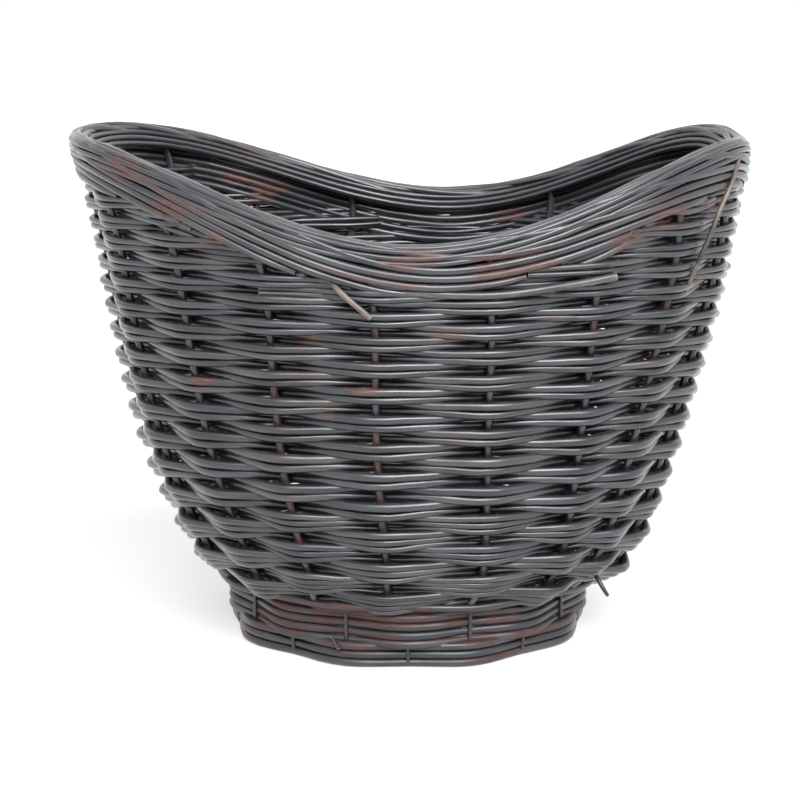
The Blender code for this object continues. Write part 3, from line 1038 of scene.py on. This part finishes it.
# %% The star and its rounds
base_rod = 0.0040
base_level = foot_height + seat_gap + base_rod / 2
slath_long_rods = 5
slath_cross_rods = 4
slath_spacing = 0.0046
slath_lift = 0.00225
bend_radius = 0.0040
spoke_flat = 0.012
spoke_radii = (0.0240, 0.055)
spoke_low_level = 0.012
spoke_end_level = 0.0030
spoke_end_inset = 0.0008


def base_spoke(index):
    """One base rod: across the middle, fanned out, then down inside the foot."""
    crossing = index >= slath_long_rods
    if crossing:
        place = index - slath_long_rods - (slath_cross_rods - 1) / 2
        turned = math.pi / 2 + stake_step / 2
        lift = slath_lift
    else:
        place = index - (slath_long_rods - 1) / 2
        turned = stake_step / 2
        lift = -slath_lift
    fan = place * stake_step
    flat_end = foot_radius - bend_radius
    bend = bend_radius * math.sin(math.pi / 4)
    half = [(Vector((reach, place * slath_spacing, base_level + lift)), base_rod)
            for reach in (0.0, spoke_flat)]
    half += [(polar(radius, fan, base_level), base_rod) for radius in (*spoke_radii, flat_end)]
    half += [(polar(flat_end + bend, fan, base_level - bend_radius + bend), base_rod),
             (polar(foot_radius, fan, base_level - bend_radius), foot_stake),
             (polar(foot_radius, fan, spoke_low_level), foot_stake),
             (polar(foot_radius - spoke_end_inset, fan, spoke_end_level), foot_stake)]
    other = [(Vector((-point.x, point.y, point.z)), thick) for point, thick in reversed(half[1:])]
    route = Route()
    cosine = math.cos(turned)
    sine = math.sin(turned)
    for point, thick in other + half:
        turned_point = Vector((point.x * cosine - point.y * sine, point.x * sine + point.y * cosine,
                               point.z))
        route.add(turned_point, upward, thick)
    return route


weave_piece("base_star", [base_spoke(index) for index in range(stake_count // 2)],
            [f"base_rod_{index + 1}" for index in range(stake_count // 2)],
            base_finish, on_foot, wander=0.0001, seed=90.0)

tie_lift = 0.0030
thickest_base_rod = 0.0044
spoke_clearance = 0.0002
tie_rounds = ((0.0195, 0.0110), (0.0305, 0.0120))
base_ring_count = 5
first_ring_radius = 0.0310
base_ring_pitch = 0.0121
base_ring_width = 0.0128
last_round_radius = 0.0889
last_round_width = 0.0070


def base_round(radius, width, rods, phase, ties=False):
    """A round of the base. One that ties goes over one layer of the cross and under the other."""
    route = Route(rods)
    pitch = width / rods
    for place in range(-1, stake_count + 1):
        if ties:
            arm = (place + slath_long_rods // 2) % (slath_long_rods + slath_cross_rods)
            side = -1 if arm < slath_long_rods else 1
            reach = base_rod / 2 + tie_lift
        else:
            side = 1 if (place + phase) % 2 else -1
            reach = base_rod / 2 + pitch / 2 + spoke_clearance
        angle = (place + 0.5) * stake_step
        route.add(polar(radius, angle, base_level + side * reach), polar(1.0, angle, 0.0),
                  min(pitch * close_fit, thickest_base_rod), pitch)
    return route


base_routes = [base_round(radius, width, 3, 0, True) for radius, width in tie_rounds]
base_routes += [base_round(first_ring_radius + ring * base_ring_pitch, base_ring_width, 3, ring)
                for ring in range(1, base_ring_count)]
base_routes.append(base_round(last_round_radius, last_round_width, 2, 1))
weave_piece("base_weave", base_routes, [f"base_ring_{ring + 1}" for ring in range(base_ring_count)],
            base_finish, on_foot, sides=8, wander=0.0002, seed=95.0)

# %% [markdown]
# ## Floor and room
#
# The bowl was photographed in a white studio: white behind and below, with only a faint soft
# shadow beside the foot. The white can't come from strong lamps, which would wash out the bowl.
# So the floor and the room look at what kind of ray has met them. To the camera, and in a
# reflection, the room is plain white and the floor glows a little under its own light. Every
# other ray sees a dimmer room and plain paper.

# %% Floor and room
floor_half = 3.0
floor_glow = 0.62
floor_mesh = bpy.data.meshes.new("floor")
floor_mesh.from_pydata([(-floor_half, -floor_half, 0), (floor_half, -floor_half, 0),
                        (floor_half, floor_half, 0), (-floor_half, floor_half, 0)], [], [(0, 1, 2, 3)])
floor = bpy.data.objects.new("floor", floor_mesh)
bpy.context.scene.collection.objects.link(floor)


def seen_directly(bench):
    """1 for a ray from the camera, a mirror or glass, and 0 for light on its way to a surface."""
    path = bench.node("ShaderNodeLightPath", None, None, "Is Camera Ray")
    return bench.larger(bench.larger(path, path.other("Is Glossy Ray")), path.other("Is Transmission Ray"))


paper = bpy.data.materials.new("white_paper")
paper.use_nodes = True
paper.node_tree.nodes.clear()
bench = Bench(paper.node_tree)
plain = bench.node("ShaderNodeBsdfDiffuse", None, {"Color": (0.80, 0.80, 0.80, 1.0)})
soft = bench.node("ShaderNodeBsdfDiffuse", None, {"Color": (0.62, 0.62, 0.62, 1.0)})
glow = bench.node("ShaderNodeEmission", None, {"Color": (1.0, 1.0, 1.0, 1.0), "Strength": floor_glow})
lit = bench.node("ShaderNodeAddShader", None, {0: soft, 1: glow})
surface = bench.node("ShaderNodeMixShader", None, {0: seen_directly(bench), 1: plain, 2: lit})
bench.node("ShaderNodeOutputMaterial", None, {"Surface": surface})
floor_mesh.materials.append(paper)

room = bpy.data.worlds.new("white_room")
room.use_nodes = True
room.node_tree.nodes.clear()
bench = Bench(room.node_tree)
room_light = 0.17
strength = room_light + (1.0 - room_light) * seen_directly(bench)
backdrop = bench.node("ShaderNodeBackground", None, {"Color": (1.0, 1.0, 1.0, 1.0), "Strength": strength})
bench.node("ShaderNodeOutputWorld", None, {"Surface": backdrop})
bpy.context.scene.world = room
print("room light", room_light)

# %% [markdown]
# ## Lamps and camera
#
# A dark waxed surface mostly mirrors its lamps, so their width matters more than their strength.
# One bright line lies along every rod across the whole front. A single lamp can't draw that, since
# it shines only in the rods that face half way towards it. So three soft suns stand side by side,
# like three panes of one wide window high at the front, stronger to the right. A fourth, from
# above and behind, lights the inside of the bowl.
# Sun lamps are used because they light the floor evenly, so it stays white out to its edge.

# %% Lamps and camera
def sun(name, comes_from, strength, width, colour):
    light = bpy.data.lights.new(name, "SUN")
    light.energy = strength
    light.angle = math.radians(width)
    light.color = colour
    holder = bpy.data.objects.new(name, light)
    holder.rotation_euler = Vector(comes_from).to_track_quat("Z", "Y").to_euler()
    bpy.context.scene.collection.objects.link(holder)


window_height = math.radians(42)
window_width = 34
panes = (("left_pane", -19, 0.60), ("middle_pane", 9, 1.70), ("right_pane", 37, 1.50))
for name, turn, strength in panes:
    turned = math.radians(turn)
    level = math.cos(window_height)
    comes_from = (level * math.sin(turned), -level * math.cos(turned), math.sin(window_height))
    sun(name, comes_from, strength, window_width, (0.98, 0.98, 1.0))
sun("top_sun", (0.1, 0.6, 1.6), 0.45, 50, (0.97, 0.98, 1.0))

camera = bpy.data.cameras.new("camera")
camera.sensor_width = 36.0
camera.lens = 120.7
camera.shift_x = -0.01
camera.clip_end = 20.0
viewer = bpy.data.objects.new("camera", camera)
viewer.location = (0.0, -1.42, 0.416)
viewer.rotation_euler = (math.radians(78.3), 0.0, 0.0)
bpy.context.scene.collection.objects.link(viewer)
bpy.context.scene.camera = viewer
bpy.context.scene.view_settings.view_transform = "Standard"
print("lamps", len(bpy.data.lights))

# %% [markdown]
# ## Counting the triangles
#
# The last cell adds up the triangles of all the pieces. The visual model has to stay inside the CAD
# model's box.

# %% Count the triangles
print("triangles in all", sum(piece_sizes.values()))
